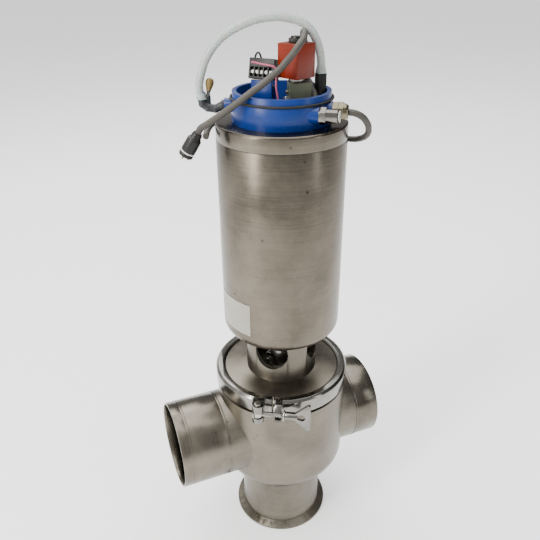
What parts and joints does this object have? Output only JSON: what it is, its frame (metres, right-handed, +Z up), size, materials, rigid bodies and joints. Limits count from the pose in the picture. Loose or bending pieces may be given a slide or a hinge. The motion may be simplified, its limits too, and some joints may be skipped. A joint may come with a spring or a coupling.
{
  "type": "three way valve",
  "caption": "Hygienic seat valve with two side ports and a closed bottom port, a clamped body, a spring-return air actuator and an open control top with solenoid, hose and cables.",
  "frame": {"origin": "centre of the bottom ferrule's face, on the stem's axis", "axes": "+Z up the stem, X along the two side ports with the longer one towards -X"},
  "size_m": [0.2549, 0.1787, 0.6229],
  "materials": {
    "body_steel": "satin stainless, turned",
    "bright_steel": "polished stainless casting",
    "shell_steel": "brushed stainless sheet",
    "turned_steel": "turned stainless bar",
    "spring_steel": "blackened spring wire",
    "cast_alloy": "machined aluminium",
    "seal_rubber": "moulded black rubber",
    "bearing_plastic": "turned bearing plastic",
    "blue_plastic": "moulded blue polyamide",
    "black_plastic": "moulded black polyamide",
    "white_plastic": "moulded white plastic",
    "coil_resin": "cast orange resin",
    "olive_alloy": "olive anodised block",
    "nickel": "nickel plated brass, worn",
    "bronze": "sintered bronze",
    "hose_plastic": "translucent polyethylene",
    "cable_jacket": "grey cable jacket",
    "wire_jacket": "thin wire insulation",
    "label": "worn printed film, left blank"
  },
  "bodies": {
    "housing": {"valve_body": "body_steel", "left_port": "body_steel", "left_pipe_stub": "body_steel", "right_port": "body_steel", "bottom_pipe": "body_steel", "bottom_ferrule": "body_steel", "body_gasket": "seal_rubber", "yoke": "body_steel", "stem_bushing": "bearing_plastic", "stem_seal": "seal_rubber", "actuator_shell": "shell_steel", "actuator_base": "cast_alloy", "rod_bushing": "bearing_plastic", "rod_seal": "seal_rubber", "return_spring": "spring_steel", "actuator_cap": "shell_steel", "cap_bushing": "bearing_plastic", "name_label": "label", "control_base": "blue_plastic", "cover_seal": "seal_rubber", "control_screws": "turned_steel", "terminal_bracket": "blue_plastic", "terminal_block": "black_plastic", "terminal_screws": "white_plastic", "lead_wires": "wire_jacket", "valve_manifold": "olive_alloy", "armature_tube": "turned_steel", "solenoid_coil": "coil_resin", "coil_nut": "spring_steel", "tube_socket": "black_plastic", "exhaust_hose": "hose_plastic", "tee_fitting": "black_plastic", "muffler": "bronze", "inlet_fitting": "nickel", "cable_gland": "nickel", "gland_nut": "nickel", "sensor_cable": "cable_jacket", "cable_plug": "black_plastic", "supply_cable": "cable_jacket"},
    "clamp_half_left": {"clamp_left": "bright_steel", "clamp_hinge_pin": "bright_steel", "trunnion_pin": "bright_steel"},
    "clamp_half_right": {"clamp_right": "bright_steel"},
    "bolt": {"swing_bolt": "turned_steel"},
    "nut_carrier": {"clamp_washer": "bright_steel"},
    "nut": {"wing_nut": "bright_steel"},
    "stem": {"valve_stem": "turned_steel", "valve_plug": "turned_steel", "plug_seal": "seal_rubber", "plug_retainer": "turned_steel", "plug_nut": "turned_steel", "coupling_front": "turned_steel", "coupling_back": "turned_steel", "coupling_screws": "turned_steel", "piston_rod": "turned_steel", "piston": "cast_alloy", "piston_seal": "seal_rubber"},
    "collet": {"inlet_collet": "turned_steel"},
    "button": {"override_button": "nickel"},
    "plunger": {"solenoid_plunger": "turned_steel"}
  },
  "joints": [
    {"name": "stem_lift", "type": "slide", "parent": "housing", "child": "stem", "axis": [0, 0, 1], "range_m": [0, 0.028], "stiffness_N_per_m": 9000, "springref_m": -0.03, "deforming": ["return_spring"]},
    {"name": "clamp_left_open", "type": "hinge", "parent": "housing", "child": "clamp_half_left", "pos_m": [0.04314, 0.07324, 0.223], "axis": [0, 0, -1], "range_deg": [0, 1.4]},
    {"name": "clamp_right_open", "type": "hinge", "parent": "housing", "child": "clamp_half_right", "pos_m": [0.04314, 0.07324, 0.223], "axis": [0, 0, 1], "range_deg": [0, 1.4]},
    {"name": "bolt_swing", "type": "hinge", "parent": "clamp_half_left", "child": "bolt", "pos_m": [-0.05759, -0.06821, 0.223], "axis": [0, 0, -1], "range_deg": [0, 100]},
    {"name": "nut_travel", "type": "slide", "parent": "bolt", "child": "nut_carrier", "axis": [0.8616, -0.5075, 0], "range_m": [-0.0005, 0.005]},
    {"name": "nut_turn", "type": "hinge", "parent": "nut_carrier", "child": "nut", "pos_m": [-0.02743, -0.08597, 0.223], "axis": [0.8616, -0.5075, 0], "range_deg": [-180, 1800]},
    {"name": "collet_press", "type": "slide", "parent": "housing", "child": "collet", "axis": [-0.8192, 0.5736, 0], "range_m": [0, 0.0009], "stiffness_N_per_m": 3000, "springref_m": -0.0005},
    {"name": "override_press", "type": "slide", "parent": "housing", "child": "button", "axis": [0.9613, -0.2756, 0], "range_m": [0, 0.0015], "stiffness_N_per_m": 1500, "springref_m": -0.0008},
    {"name": "plunger_lift", "type": "slide", "parent": "housing", "child": "plunger", "axis": [0, 0, 1], "range_m": [0, 0.0015], "stiffness_N_per_m": 1200, "springref_m": -0.002}
  ],
  "couplings": [
    {"joint": "clamp_left_open", "follows": "bolt_swing", "ratio": 0.014},
    {"joint": "clamp_right_open", "follows": "bolt_swing", "ratio": 0.014},
    {"joint": "nut_travel", "follows": "nut_turn", "m_per_rad": 0.00015915}
  ]
}
